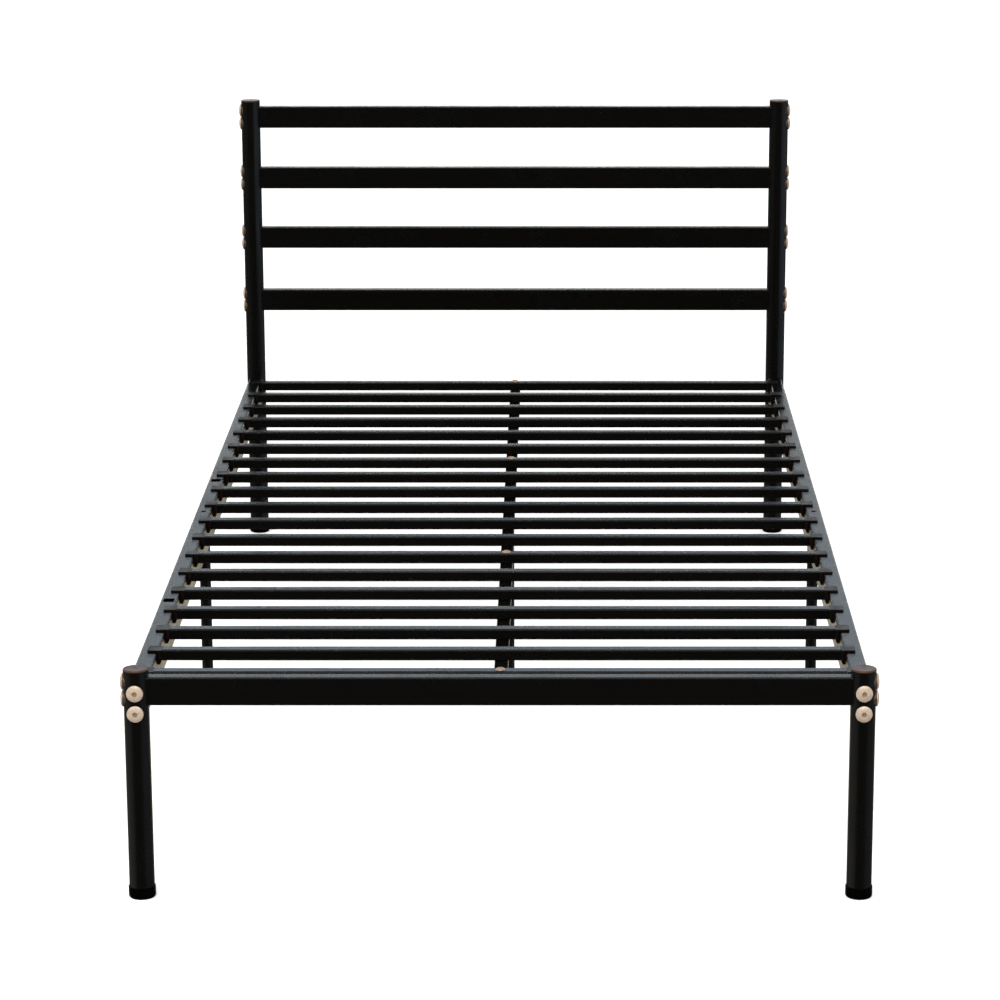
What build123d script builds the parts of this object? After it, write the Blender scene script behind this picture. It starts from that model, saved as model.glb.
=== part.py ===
from build123d import *
import os

# Twin metal bed frame with a slatted base and a four-bar headboard.
# The origin is on the floor under the middle of the bed. +Y points to the headboard, +Z points up.
# Every joint between a rail and a post is a pair of bolts through the post into a nut plate in the rail.

# Overall layout
POST_SPACING_X = 990.0
POST_SPACING_Y = 1955.0
POST_X = POST_SPACING_X / 2
POST_Y = POST_SPACING_Y / 2
SIDES = {"left": -1, "right": 1}
ENDS = {"foot": -1, "head": 1}

# Corner posts: round tube
POST_R = 17.5
POST_WALL = 1.2
POST_TOPS = {"foot": 327.0, "head": 833.0}
TOUCH_GAP = 0.05

# Plastic plugs in the tops of the posts
CAP_FLANGE = 2.5
CAP_EDGE_FILLET = 1.6
CAP_SPIGOT_DEPTH = 9.0
CAP_SPIGOT_WALL = 2.2
CAP_GAP = 0.1

# Plastic feet
PAD_FLOOR = 3.0
PAD_HEIGHT = 16.0
PAD_WALL = 1.1
PAD_GAP = 0.1
PAD_FILLET = 3.5
SMALL_PAD_HEIGHT = 13.0

# Foot rail and headboard bars: one flat tube
BAR_DEPTH = 20.0
BAR_HEIGHT = 40.0
BAR_WALL = 1.2
BAR_CORNER = 2.5
FOOT_RAIL_Z = 298.6
HEADBOARD_BAR_Z = {"top": 803.5, "upper": 689.0, "lower": 575.5, "bottom": 455.5}
BAR_BOLT_OFFSET = 12.0

# Side rails
SIDE_RAIL_WIDTH = 25.0
SIDE_RAIL_HEIGHT = 50.0
SIDE_RAIL_WALL = 1.5
SIDE_RAIL_CORNER = 3.5
SIDE_RAIL_TOP = 305.6
SIDE_RAIL_BOTTOM = SIDE_RAIL_TOP - SIDE_RAIL_HEIGHT
SIDE_BOLT_Z = (298.0, 269.0)
RAIL_SLOT_X = 16.0
RAIL_SLOT_Y = 19.0
RAIL_SLOT_CORNER = 1.5
LEFT_RAIL_SLOTS_Y = (-563.5, 162.5)

# Slats
SLAT_COUNT = 19
SLAT_PITCH = 102.0
SLAT_WIDTH = 19.0
SLAT_HEIGHT = 16.0
SLAT_WALL = 1.0
SLAT_CORNER = 2.5
BOLTED_SLATS = (1, 7, 13, 19)

# Plastic holders on the slat ends: a tab on the side rail, a tooth beside it, a plug in the slat
TAB_THICKNESS = 3.0
TAB_REACH = 14.5
HOLDER_WIDTH = 24.0
HOLDER_FLANGE = 5.3
TAB_CORNER = 2.5
TAB_EDGE_FILLET = 0.8
TOOTH_DROP = 6.5
TOOTH_TIP_WIDTH = 13.0
TOOTH_TIP_THICKNESS = 2.6
PLUG_LENGTH = 22.0
PLUG_WALL = 2.0
PLUG_GAP = 0.1
SLAT_TOP = SIDE_RAIL_TOP + TAB_THICKNESS
SLAT_BOTTOM = SLAT_TOP - SLAT_HEIGHT
RAIL_INNER_X = POST_X - SIDE_RAIL_WIDTH / 2
SLAT_LENGTH = 2 * (RAIL_INNER_X - HOLDER_FLANGE - TOUCH_GAP)

# Centre rail under the slats
CENTRE_RAIL_SIZE = 19.0
CENTRE_RAIL_WALL = 1.2
CENTRE_RAIL_CORNER = 2.0
CENTRE_RAIL_LENGTH = 1872.0
CENTRE_RAIL_BOTTOM = SLAT_BOTTOM - CENTRE_RAIL_SIZE
END_CAP_FLANGE = 2.0
END_CAP_DEPTH = 11.0

# Thin legs halfway along the bed
MID_LEG_R = 9.0
MID_LEG_WALL = 1.2
MID_LEG_Y = -44.0
INSERT_LENGTH = 16.0
LEG_SCREW_R = 2.5
LEG_SCREW_HEAD_R = 4.25
LEG_SCREW_HEAD_HEIGHT = 5.0
LEG_SCREW_LENGTH = 16.0
LEG_SCREW_SOCKET_ACROSS = 4.0
ACCESS_HOLE_R = 4.5

# Frame bolts with a wide domed head on a saddle washer
BOLT_R = 4.0
BOLT_LENGTH = 45.0
BOLT_HEAD_R = 11.5
BOLT_RIM = 1.2
BOLT_DOME = 3.6
BOLT_SOCKET_ACROSS = 6.0
BOLT_SOCKET_DEPTH = 2.6
BOLT_HOLE_R = 4.3
WASHER_THICKNESS = 0.5
NUT_PLATE_THICKNESS = 6.0
NUT_PLATE_SETBACK = 1.0
NUT_PLATE_GAP = 0.1
THREAD_GAP = 0.05

# Small domed bolts that hold four slats to the centre rail
SLAT_BOLT_R = 3.0
SLAT_BOLT_HEAD_R = 6.75
SLAT_BOLT_RIM = 0.8
SLAT_BOLT_DOME = 3.2
SLAT_BOLT_SOCKET_ACROSS = 4.0
SLAT_BOLT_SOCKET_DEPTH = 2.0
SLAT_BOLT_LENGTH = 23.0
SLAT_BOLT_HOLE_R = 3.3
SLAT_NUT_ACROSS = 10.0
SLAT_NUT_HEIGHT = 5.0

os.makedirs("parts", exist_ok=True)


def save(piece, name):
    """Labels a finished piece and writes it to its own STEP file."""
    piece.label = name
    export_step(piece, f"parts/{name}.step")


def outward_plane(x, y, z, out_x, out_y):
    """A plane on the side of a post whose normal points away from the post and whose Y points up."""
    return Plane(origin=(x, y, z), x_dir=(-out_y, out_x, 0), z_dir=(out_x, out_y, 0))


def rounded_tube(plane, width, height, wall, corner, length):
    """A rectangular tube with round corners, extruded both ways from its middle plane."""
    with BuildPart() as tube:
        with BuildSketch(plane):
            RectangleRounded(width, height, corner)
            RectangleRounded(width - 2 * wall, height - 2 * wall, corner - wall, mode=Mode.SUBTRACT)
        extrude(amount=length / 2, both=True)
    return tube.part


# Corner posts


def corner_post(side, end):
    """A round tube with clearance holes for the rail bolts."""
    top = POST_TOPS[end]
    x = SIDES[side] * POST_X
    y = ENDS[end] * POST_Y
    cross_bolts = [FOOT_RAIL_Z] if end == "foot" else list(HEADBOARD_BAR_Z.values())
    with BuildPart() as post:
        with BuildSketch(Plane.XY.offset(PAD_FLOOR)):
            with Locations((x, y)):
                Circle(POST_R)
                Circle(POST_R - POST_WALL, mode=Mode.SUBTRACT)
        extrude(amount=top - PAD_FLOOR)
        for middle in cross_bolts:
            for z in (middle - BAR_BOLT_OFFSET, middle + BAR_BOLT_OFFSET):
                with Locations(Plane(origin=(x, y, z), z_dir=(1, 0, 0))):
                    Hole(BOLT_HOLE_R)
        for z in SIDE_BOLT_Z:
            with Locations(Plane(origin=(x, y, z), z_dir=(0, 1, 0))):
                Hole(BOLT_HOLE_R)
    return post.part


def post_cap(side, end):
    """A plastic plug with a flat flange that covers the end of the tube."""
    top = POST_TOPS[end]
    with BuildPart() as cap:
        with BuildSketch(Plane.XY.offset(top)):
            with Locations((SIDES[side] * POST_X, ENDS[end] * POST_Y)):
                Circle(POST_R)
        extrude(amount=CAP_FLANGE)
        fillet(cap.faces().sort_by(Axis.Z)[-1].edges(), CAP_EDGE_FILLET)
        spigot_r = POST_R - POST_WALL - CAP_GAP
        with BuildSketch(Plane.XY.offset(top)):
            with Locations((SIDES[side] * POST_X, ENDS[end] * POST_Y)):
                Circle(spigot_r)
                Circle(spigot_r - CAP_SPIGOT_WALL, mode=Mode.SUBTRACT)
        extrude(amount=-CAP_SPIGOT_DEPTH)
    return cap.part


def foot_pad(x, y, tube_r, height):
    """A plastic cup round the bottom of a tube."""
    outer_r = tube_r + PAD_GAP + PAD_WALL
    with BuildPart() as pad:
        with BuildSketch(Plane.XY):
            with Locations((x, y)):
                Circle(outer_r)
        extrude(amount=height)
        fillet(pad.faces().sort_by(Axis.Z)[0].edges(), min(PAD_FILLET, tube_r / 3))
        with BuildSketch(Plane.XY.offset(PAD_FLOOR)):
            with Locations((x, y)):
                Circle(tube_r + PAD_GAP)
        extrude(amount=height, mode=Mode.SUBTRACT)
        fillet(pad.faces().sort_by(Axis.Z)[-1].edges().sort_by(SortBy.RADIUS)[-1], PAD_WALL / 2)
    return pad.part


for end in ENDS:
    for side in SIDES:
        save(corner_post(side, end), f"{end}_post_{side}")
        save(post_cap(side, end), f"{end}_post_cap_{side}")
        save(
            foot_pad(SIDES[side] * POST_X, ENDS[end] * POST_Y, POST_R, PAD_HEIGHT),
            f"{end}_post_foot_pad_{side}",
        )


# Cross rails between the left and right posts


def cross_rail(y, z):
    """A flat tube whose ends are coped to the round posts."""
    plane = Plane(origin=(0, y, z), x_dir=(0, 1, 0), z_dir=(1, 0, 0))
    with BuildPart() as rail:
        add(rounded_tube(plane, BAR_DEPTH, BAR_HEIGHT, BAR_WALL, BAR_CORNER, POST_SPACING_X))
        with Locations((-POST_X, y, z), (POST_X, y, z)):
            Cylinder(POST_R + TOUCH_GAP, 2 * BAR_HEIGHT, mode=Mode.SUBTRACT)
    return rail.part


save(cross_rail(-POST_Y, FOOT_RAIL_Z), "foot_end_rail")
for level, z in HEADBOARD_BAR_Z.items():
    save(cross_rail(POST_Y, z), f"headboard_bar_{level}")


# Side rails


def side_rail(side):
    """A deep tube along one side, coped to both posts, with the openings of its top wall."""
    x = SIDES[side] * POST_X
    middle_z = (SIDE_RAIL_TOP + SIDE_RAIL_BOTTOM) / 2
    plane = Plane(origin=(x, 0, middle_z), x_dir=(-1, 0, 0), z_dir=(0, 1, 0))
    slot_places = [(x, y) for y in LEFT_RAIL_SLOTS_Y] if side == "left" else []
    with BuildPart() as rail:
        add(
            rounded_tube(
                plane,
                SIDE_RAIL_WIDTH,
                SIDE_RAIL_HEIGHT,
                SIDE_RAIL_WALL,
                SIDE_RAIL_CORNER,
                POST_SPACING_Y,
            )
        )
        with Locations((x, -POST_Y, middle_z), (x, POST_Y, middle_z)):
            Cylinder(POST_R + TOUCH_GAP, 2 * SIDE_RAIL_HEIGHT, mode=Mode.SUBTRACT)
        with BuildSketch(Plane.XY.offset(SIDE_RAIL_TOP)):
            with Locations((x, MID_LEG_Y)):
                Circle(ACCESS_HOLE_R)
            if slot_places:
                with Locations(*slot_places):
                    RectangleRounded(RAIL_SLOT_X, RAIL_SLOT_Y, RAIL_SLOT_CORNER)
        extrude(amount=-2 * SIDE_RAIL_WALL, mode=Mode.SUBTRACT)
        with BuildSketch(Plane.XY.offset(SIDE_RAIL_BOTTOM)):
            with Locations((x, MID_LEG_Y)):
                Circle(LEG_SCREW_R + CAP_GAP)
        extrude(amount=2 * SIDE_RAIL_WALL, mode=Mode.SUBTRACT)
    return rail.part


for side in SIDES:
    save(side_rail(side), f"side_rail_{side}")


# Slats and their holders


def slat_y(number):
    """The middle of a slat; number 1 is next to the headboard."""
    return ((SLAT_COUNT + 1) / 2 - number) * SLAT_PITCH


def slat(number):
    """A rectangular tube across the bed, drilled at its middle where a bolt holds it down."""
    middle = (0, slat_y(number), (SLAT_TOP + SLAT_BOTTOM) / 2)
    plane = Plane(origin=middle, x_dir=(0, 1, 0), z_dir=(1, 0, 0))
    with BuildPart() as tube:
        add(rounded_tube(plane, SLAT_WIDTH, SLAT_HEIGHT, SLAT_WALL, SLAT_CORNER, SLAT_LENGTH))
        if number in BOLTED_SLATS:
            with Locations(middle):
                Hole(SLAT_BOLT_HOLE_R)
    return tube.part


def slat_holder():
    """One holder, with its +X towards the side rail, X = 0 on the rail's face and Z = 0 on its top."""
    slat_middle = TAB_THICKNESS - SLAT_HEIGHT / 2
    plug_width = SLAT_WIDTH - 2 * (SLAT_WALL + PLUG_GAP)
    plug_height = SLAT_HEIGHT - 2 * (SLAT_WALL + PLUG_GAP)
    with BuildPart() as holder:
        # Flange between the slat and the rail, from the top of the tab to the bottom of the slat
        with BuildSketch(Plane.YZ.offset(-TOUCH_GAP)):
            with Locations((0, slat_middle)):
                Rectangle(HOLDER_WIDTH, SLAT_HEIGHT)
        extrude(amount=-HOLDER_FLANGE)
        # Tooth that narrows downwards along the face of the rail
        with BuildSketch(Plane.XY.offset(TAB_THICKNESS - SLAT_HEIGHT)):
            with Locations((-TOUCH_GAP - HOLDER_FLANGE / 2, 0)):
                Rectangle(HOLDER_FLANGE, HOLDER_WIDTH)
        with BuildSketch(Plane.XY.offset(TAB_THICKNESS - SLAT_HEIGHT - TOOTH_DROP)):
            with Locations((-TOUCH_GAP - TOOTH_TIP_THICKNESS / 2, 0)):
                Rectangle(TOOTH_TIP_THICKNESS, TOOTH_TIP_WIDTH)
        loft()
        # Tab that lies on the rail
        with BuildSketch(Plane.XY):
            with Locations((TAB_REACH / 2 - TOUCH_GAP, 0)):
                Rectangle(TAB_REACH, HOLDER_WIDTH)
        extrude(amount=TAB_THICKNESS)
        upright_edges = holder.edges().filter_by(Axis.Z)
        fillet(upright_edges.group_by(Axis.X)[-1], TAB_CORNER)
        tab_top = holder.faces().sort_by(Axis.Z)[-1]
        fillet(tab_top.edges().sort_by(Axis.X)[-1], TAB_EDGE_FILLET)
        # Hollow plug inside the slat
        with BuildSketch(Plane.YZ.offset(-TOUCH_GAP - HOLDER_FLANGE)):
            with Locations((0, slat_middle)):
                RectangleRounded(plug_width, plug_height, SLAT_CORNER - SLAT_WALL)
                Rectangle(
                    plug_width - 2 * PLUG_WALL,
                    plug_height - 2 * PLUG_WALL,
                    mode=Mode.SUBTRACT,
                )
        extrude(amount=-PLUG_LENGTH)
    return holder.part


for number in range(1, SLAT_COUNT + 1):
    save(slat(number), f"slat_{number:02d}")

holder_shape = slat_holder()
for side, sign in SIDES.items():
    holder_planes = [
        Plane(
            origin=(sign * RAIL_INNER_X, slat_y(number), SIDE_RAIL_TOP),
            x_dir=(sign, 0, 0),
            z_dir=(0, 0, 1),
        )
        for number in range(1, SLAT_COUNT + 1)
    ]
    with BuildPart() as holders:
        with Locations(*holder_planes):
            add(holder_shape)
    save(holders.part, f"slat_holders_{side}")


# Centre rail, its end caps and the bolts of the four fixed slats

centre_rail_z = CENTRE_RAIL_BOTTOM + CENTRE_RAIL_SIZE / 2
with BuildPart() as centre_rail:
    add(
        rounded_tube(
            Plane(origin=(0, 0, centre_rail_z), x_dir=(-1, 0, 0), z_dir=(0, 1, 0)),
            CENTRE_RAIL_SIZE,
            CENTRE_RAIL_SIZE,
            CENTRE_RAIL_WALL,
            CENTRE_RAIL_CORNER,
            CENTRE_RAIL_LENGTH,
        )
    )
    with BuildSketch(Plane.XY.offset(SLAT_BOTTOM)):
        with Locations(*((0, slat_y(number)) for number in BOLTED_SLATS)):
            Circle(SLAT_BOLT_HOLE_R)
        with Locations((0, MID_LEG_Y)):
            Circle(ACCESS_HOLE_R)
    extrude(amount=-2 * CENTRE_RAIL_WALL, mode=Mode.SUBTRACT)
    with BuildSketch(Plane.XY.offset(CENTRE_RAIL_BOTTOM)):
        with Locations((0, MID_LEG_Y)):
            Circle(LEG_SCREW_R + CAP_GAP)
    extrude(amount=2 * CENTRE_RAIL_WALL, mode=Mode.SUBTRACT)
save(centre_rail.part, "centre_rail")

cap_plug_size = CENTRE_RAIL_SIZE - 2 * (CENTRE_RAIL_WALL + CAP_GAP)
with BuildPart() as centre_rail_end_caps:
    for out_y in ENDS.values():
        end_face = outward_plane(0, out_y * CENTRE_RAIL_LENGTH / 2, centre_rail_z, 0, out_y)
        with BuildSketch(end_face):
            RectangleRounded(CENTRE_RAIL_SIZE, CENTRE_RAIL_SIZE, CENTRE_RAIL_CORNER)
        extrude(amount=END_CAP_FLANGE)
        with BuildSketch(end_face):
            RectangleRounded(cap_plug_size, cap_plug_size, CENTRE_RAIL_CORNER - CENTRE_RAIL_WALL)
            Rectangle(
                cap_plug_size - 2 * PLUG_WALL,
                cap_plug_size - 2 * PLUG_WALL,
                mode=Mode.SUBTRACT,
            )
        extrude(amount=-END_CAP_DEPTH)
save(centre_rail_end_caps.part, "centre_rail_end_caps")


# Mid legs


def mid_leg(x, top):
    """A thin tube that stands in its foot and carries a rail."""
    with BuildPart() as leg:
        with BuildSketch(Plane.XY.offset(PAD_FLOOR)):
            with Locations((x, MID_LEG_Y)):
                Circle(MID_LEG_R)
                Circle(MID_LEG_R - MID_LEG_WALL, mode=Mode.SUBTRACT)
        extrude(amount=top - PAD_FLOOR)
    return leg.part


# Each leg's X, the underside of its rail and that rail's wall
mid_legs = {
    "left": (-POST_X, SIDE_RAIL_BOTTOM, SIDE_RAIL_WALL),
    "centre": (0, CENTRE_RAIL_BOTTOM, CENTRE_RAIL_WALL),
    "right": (POST_X, SIDE_RAIL_BOTTOM, SIDE_RAIL_WALL),
}
for place, (x, top, rail_wall) in mid_legs.items():
    save(mid_leg(x, top), f"mid_leg_{place}")
    save(foot_pad(x, MID_LEG_Y, MID_LEG_R, SMALL_PAD_HEIGHT), f"mid_leg_foot_pad_{place}")

with BuildPart() as mid_leg_inserts:
    for x, top, rail_wall in mid_legs.values():
        with BuildSketch(Plane.XY.offset(top)):
            with Locations((x, MID_LEG_Y)):
                Circle(MID_LEG_R - MID_LEG_WALL - CAP_GAP)
                Circle(LEG_SCREW_R + THREAD_GAP, mode=Mode.SUBTRACT)
        extrude(amount=-INSERT_LENGTH)
save(mid_leg_inserts.part, "mid_leg_inserts")

with BuildPart() as mid_leg_screws:
    for x, top, rail_wall in mid_legs.values():
        seat = top + rail_wall
        with BuildSketch(Plane.XY.offset(seat)):
            with Locations((x, MID_LEG_Y)):
                Circle(LEG_SCREW_HEAD_R)
        extrude(amount=LEG_SCREW_HEAD_HEIGHT)
        with BuildSketch(Plane.XY.offset(seat)):
            with Locations((x, MID_LEG_Y)):
                Circle(LEG_SCREW_R)
        extrude(amount=-LEG_SCREW_LENGTH)
        with BuildSketch(Plane.XY.offset(seat + LEG_SCREW_HEAD_HEIGHT)):
            with Locations((x, MID_LEG_Y)):
                RegularPolygon(LEG_SCREW_SOCKET_ACROSS / 2, 6, major_radius=False)
        extrude(amount=-LEG_SCREW_HEAD_HEIGHT / 2, mode=Mode.SUBTRACT)
save(mid_leg_screws.part, "mid_leg_screws")


# Bolts, washers and nut plates


def domed_bolt(shank_r, length, head_r, rim, dome, socket_across, socket_depth):
    """A bolt whose head points to +Z and sits on Z = 0."""
    with BuildPart() as bolt:
        with BuildSketch(Plane.XZ):
            with BuildLine():
                Polyline(
                    (0, dome),
                    (0, -length),
                    (shank_r - 1, -length),
                    (shank_r, -length + 1),
                    (shank_r, 0),
                    (head_r, 0),
                    (head_r, rim),
                )
                TangentArc((0, dome), (head_r, rim), tangent=(1, 0))
            make_face()
        revolve(axis=Axis.Z)
        with BuildSketch(Plane.XY.offset(dome - socket_depth)):
            RegularPolygon(socket_across / 2, 6, major_radius=False)
        extrude(amount=dome, mode=Mode.SUBTRACT)
    return bolt.part


def saddle_washer():
    """A washer, flat on the side of the bolt head and hollow on the side of the post."""
    with BuildPart() as washer:
        with BuildSketch(Plane.XY):
            Circle(BOLT_HEAD_R)
            Circle(BOLT_HOLE_R, mode=Mode.SUBTRACT)
        extrude(amount=-POST_R / 2)
        with Locations(Location((0, 0, -POST_R - WASHER_THICKNESS), (90, 0, 0))):
            Cylinder(POST_R, 3 * BOLT_HEAD_R, mode=Mode.SUBTRACT)
    # The cut leaves a piece beyond the post too, and only the one under the bolt head is kept
    return washer.part.solids().sort_by(Axis.Z)[-1]


head_seat = POST_R + WASHER_THICKNESS
cross_bolt_planes = {"foot_rail_bolts": [], "headboard_bolts": []}
for out_x in SIDES.values():
    for offset in (BAR_BOLT_OFFSET, -BAR_BOLT_OFFSET):
        cross_bolt_planes["foot_rail_bolts"].append(
            outward_plane(out_x * (POST_X + head_seat), -POST_Y, FOOT_RAIL_Z + offset, out_x, 0)
        )
        for z in HEADBOARD_BAR_Z.values():
            cross_bolt_planes["headboard_bolts"].append(
                outward_plane(out_x * (POST_X + head_seat), POST_Y, z + offset, out_x, 0)
            )
side_bolt_planes = {
    f"side_rail_{end}_bolts": [
        outward_plane(sign * POST_X, out_y * (POST_Y + head_seat), z, 0, out_y)
        for sign in SIDES.values()
        for z in SIDE_BOLT_Z
    ]
    for end, out_y in ENDS.items()
}
frame_bolt_planes = {**cross_bolt_planes, **side_bolt_planes}

frame_bolt = domed_bolt(
    BOLT_R,
    BOLT_LENGTH,
    BOLT_HEAD_R,
    BOLT_RIM,
    BOLT_DOME,
    BOLT_SOCKET_ACROSS,
    BOLT_SOCKET_DEPTH,
)
for name, planes in frame_bolt_planes.items():
    with BuildPart() as bolts:
        with Locations(*planes):
            add(frame_bolt)
    save(bolts.part, name)

washer_shape = saddle_washer()
with BuildPart() as saddle_washers:
    with Locations(*(plane for planes in frame_bolt_planes.values() for plane in planes)):
        add(washer_shape)
save(saddle_washers.part, "saddle_washers")


def nut_plate(width, height, corner, hole_offsets):
    """A threaded plate that fills the end of a tube; its middle plane is Z = 0."""
    with BuildPart() as plate:
        with BuildSketch(Plane.XY):
            RectangleRounded(width - 2 * NUT_PLATE_GAP, height - 2 * NUT_PLATE_GAP, corner)
            with Locations(*((0, offset) for offset in hole_offsets)):
                Circle(BOLT_R + THREAD_GAP, mode=Mode.SUBTRACT)
        extrude(amount=NUT_PLATE_THICKNESS / 2, both=True)
    return plate.part


bar_nut_plate = nut_plate(
    BAR_DEPTH - 2 * BAR_WALL,
    BAR_HEIGHT - 2 * BAR_WALL,
    BAR_CORNER,
    (-BAR_BOLT_OFFSET, BAR_BOLT_OFFSET),
)
# From the axis of a post to the middle of the nut plate in the rail that meets it
nut_plate_inset = POST_R + NUT_PLATE_SETBACK + NUT_PLATE_THICKNESS / 2
bar_levels = {
    "foot_rail_nut_plates": [(-POST_Y, FOOT_RAIL_Z)],
    "headboard_nut_plates": [(POST_Y, z) for z in HEADBOARD_BAR_Z.values()],
}
for name, levels in bar_levels.items():
    with BuildPart() as plates:
        with Locations(
            *(
                outward_plane(out_x * (POST_X - nut_plate_inset), y, z, out_x, 0)
                for out_x in SIDES.values()
                for y, z in levels
            )
        ):
            add(bar_nut_plate)
    save(plates.part, name)

side_rail_middle_z = SIDE_RAIL_TOP - SIDE_RAIL_HEIGHT / 2
side_nut_plate = nut_plate(
    SIDE_RAIL_WIDTH - 2 * SIDE_RAIL_WALL,
    SIDE_RAIL_HEIGHT - 2 * SIDE_RAIL_WALL,
    SIDE_RAIL_CORNER,
    [z - side_rail_middle_z for z in SIDE_BOLT_Z],
)
nut_plate_y = POST_Y - nut_plate_inset
with BuildPart() as side_rail_nut_plates:
    with Locations(
        *(
            outward_plane(sign * POST_X, out_y * nut_plate_y, side_rail_middle_z, 0, out_y)
            for sign in SIDES.values()
            for out_y in ENDS.values()
        )
    ):
        add(side_nut_plate)
save(side_rail_nut_plates.part, "side_rail_nut_plates")

slat_bolt = domed_bolt(
    SLAT_BOLT_R,
    SLAT_BOLT_LENGTH,
    SLAT_BOLT_HEAD_R,
    SLAT_BOLT_RIM,
    SLAT_BOLT_DOME,
    SLAT_BOLT_SOCKET_ACROSS,
    SLAT_BOLT_SOCKET_DEPTH,
)
with BuildPart() as slat_bolts:
    with Locations(*((0, slat_y(number), SLAT_TOP) for number in BOLTED_SLATS)):
        add(slat_bolt)
save(slat_bolts.part, "slat_bolts")

with BuildPart() as slat_bolt_nuts:
    with BuildSketch(Plane.XY.offset(SLAT_BOTTOM - CENTRE_RAIL_WALL)):
        with Locations(*((0, slat_y(number)) for number in BOLTED_SLATS)):
            RegularPolygon(SLAT_NUT_ACROSS / 2, 6, major_radius=False)
            Circle(SLAT_BOLT_R + THREAD_GAP, mode=Mode.SUBTRACT)
    extrude(amount=-SLAT_NUT_HEIGHT)
save(slat_bolt_nuts.part, "slat_bolt_nuts")
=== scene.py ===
import math
from collections import namedtuple

import bmesh
import bpy
from mathutils import Matrix, Vector


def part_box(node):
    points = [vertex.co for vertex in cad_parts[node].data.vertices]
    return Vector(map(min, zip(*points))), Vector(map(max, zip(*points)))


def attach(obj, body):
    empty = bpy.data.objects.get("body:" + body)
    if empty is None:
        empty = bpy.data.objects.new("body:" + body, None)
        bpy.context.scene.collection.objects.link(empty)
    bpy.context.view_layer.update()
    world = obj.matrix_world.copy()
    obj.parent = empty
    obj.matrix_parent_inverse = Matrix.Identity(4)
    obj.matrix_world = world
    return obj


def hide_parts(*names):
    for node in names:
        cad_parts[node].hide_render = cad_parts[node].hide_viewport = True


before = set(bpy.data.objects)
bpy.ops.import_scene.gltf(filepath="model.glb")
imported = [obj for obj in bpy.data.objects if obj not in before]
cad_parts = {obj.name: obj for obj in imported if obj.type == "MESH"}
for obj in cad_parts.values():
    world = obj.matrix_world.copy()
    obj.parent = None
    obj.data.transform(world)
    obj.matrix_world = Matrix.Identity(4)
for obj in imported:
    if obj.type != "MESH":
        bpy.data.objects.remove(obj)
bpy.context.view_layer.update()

# Looks of the metal bed frame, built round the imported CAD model. Metres, +Y to the headboard, +Z up.

MM = 0.001
BODY = "root"
SIDES = {"left": -1, "right": 1}
ENDS = {"foot": -1, "head": 1}
BAR_LEVELS = ("top", "upper", "lower", "bottom")
SLAT_COUNT = 19
BOLTED_SLATS = (1, 7, 13, 19)

# Walls and outer corners of the tubes, as in the CAD model
POST_WALL = 1.2 * MM
MID_LEG_WALL = 1.2 * MM
BAR_WALL = 1.2 * MM
BAR_CORNER = 2.5 * MM
SIDE_RAIL_WALL = 1.5 * MM
SIDE_RAIL_CORNER = 3.5 * MM
CENTRE_RAIL_WALL = 1.2 * MM
CENTRE_RAIL_CORNER = 2.0 * MM
SLAT_WALL = 1.0 * MM
SLAT_CORNER = 2.5 * MM
COPE_GAP = 0.05 * MM

# Holes in the tops of the tubes, with the width of the finer mesh round each
ACCESS_HOLE_R = 4.5 * MM
ACCESS_MARGIN = 2.0 * MM
SLAT_BOLT_HOLE_R = 3.3 * MM
SLAT_BOLT_MARGIN = 1.5 * MM
SLOT_HALF_X = 8.0 * MM
SLOT_HALF_Y = 9.5 * MM
SLOT_CORNER = 1.5 * MM
SLOT_MARGIN = 3.5 * MM
LEFT_SLOTS_Y = (-563.5 * MM, 162.5 * MM)

# Ends of the round tubes
TUBE_CHAMFER = 0.25 * MM
TUBE_ROW = 60.0 * MM

# Plugs in the tops of the posts
CAP_FLANGE = 2.5 * MM
CAP_FIT = 0.1 * MM
CAP_SPIGOT_WALL = 2.2 * MM
CAP_SPIGOT_TAPER = 0.6 * MM
CAP_GATE_R = 1.1 * MM
CAP_GATE_DEPTH = 0.45 * MM
CAP_CROWN = 0.25 * MM
CAP_EDGE_START = 0.82
CAP_EDGE_LEVEL = 0.17 * MM
CAP_EDGE_DROP = 1.4 * MM

# Feet of the posts and the middle legs
PAD_FLOOR = 3.0 * MM
PAD_SOLE_R = 3.5 * MM
PAD_HOLLOW = 0.4 * MM
PAD_LIP = 0.7 * MM
PAD_FIT = 0.1 * MM

# Slat holders, measured from the inner face and the top of the side rail
HOLDER_GAP = 0.05 * MM
HOLDER_FLANGE = 5.3 * MM
HOLDER_REACH = 14.45 * MM
HOLDER_TOP = 3.0 * MM
HOLDER_HALF = 12.0 * MM
HOLDER_TAB_CORNER = 2.5 * MM
HOLDER_EDGE = 0.55 * MM
TOOTH_HALF = 6.5 * MM
TOOTH_DEPTH = 2.6 * MM
PLUG_HALF_WIDTH = 8.4 * MM
PLUG_HALF_HEIGHT = 6.9 * MM
PLUG_CORNER = 1.0 * MM
PLUG_LENGTH = 22.0 * MM
PLUG_LEAD = 0.93
PLUG_BORE = 0.76

# Domed bolts with a hexagon socket
Bolt = namedtuple("Bolt", "head_r rim dome shank_r length socket")
FRAME_BOLT = Bolt(11.5 * MM, 1.2 * MM, 3.6 * MM, 4.0 * MM, 45.0 * MM, 6.0 * MM)
SLAT_BOLT = Bolt(6.75 * MM, 0.8 * MM, 3.2 * MM, 3.0 * MM, 23.0 * MM, 4.0 * MM)
BOLT_STEPS = 48
BOLT_DOME_RINGS = 12
BOLT_EDGE = 0.25 * MM
SHANK_CHAMFER = 0.8 * MM
SOCKET_DEPTH = 0.72
SOCKET_LIP = 1.45
SOCKET_CONE = 0.3 * MM
FRAME_BOLT_SPIN = 37
SLAT_BOLT_SPIN = 23
HEXAGON_REPEAT = 60

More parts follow.
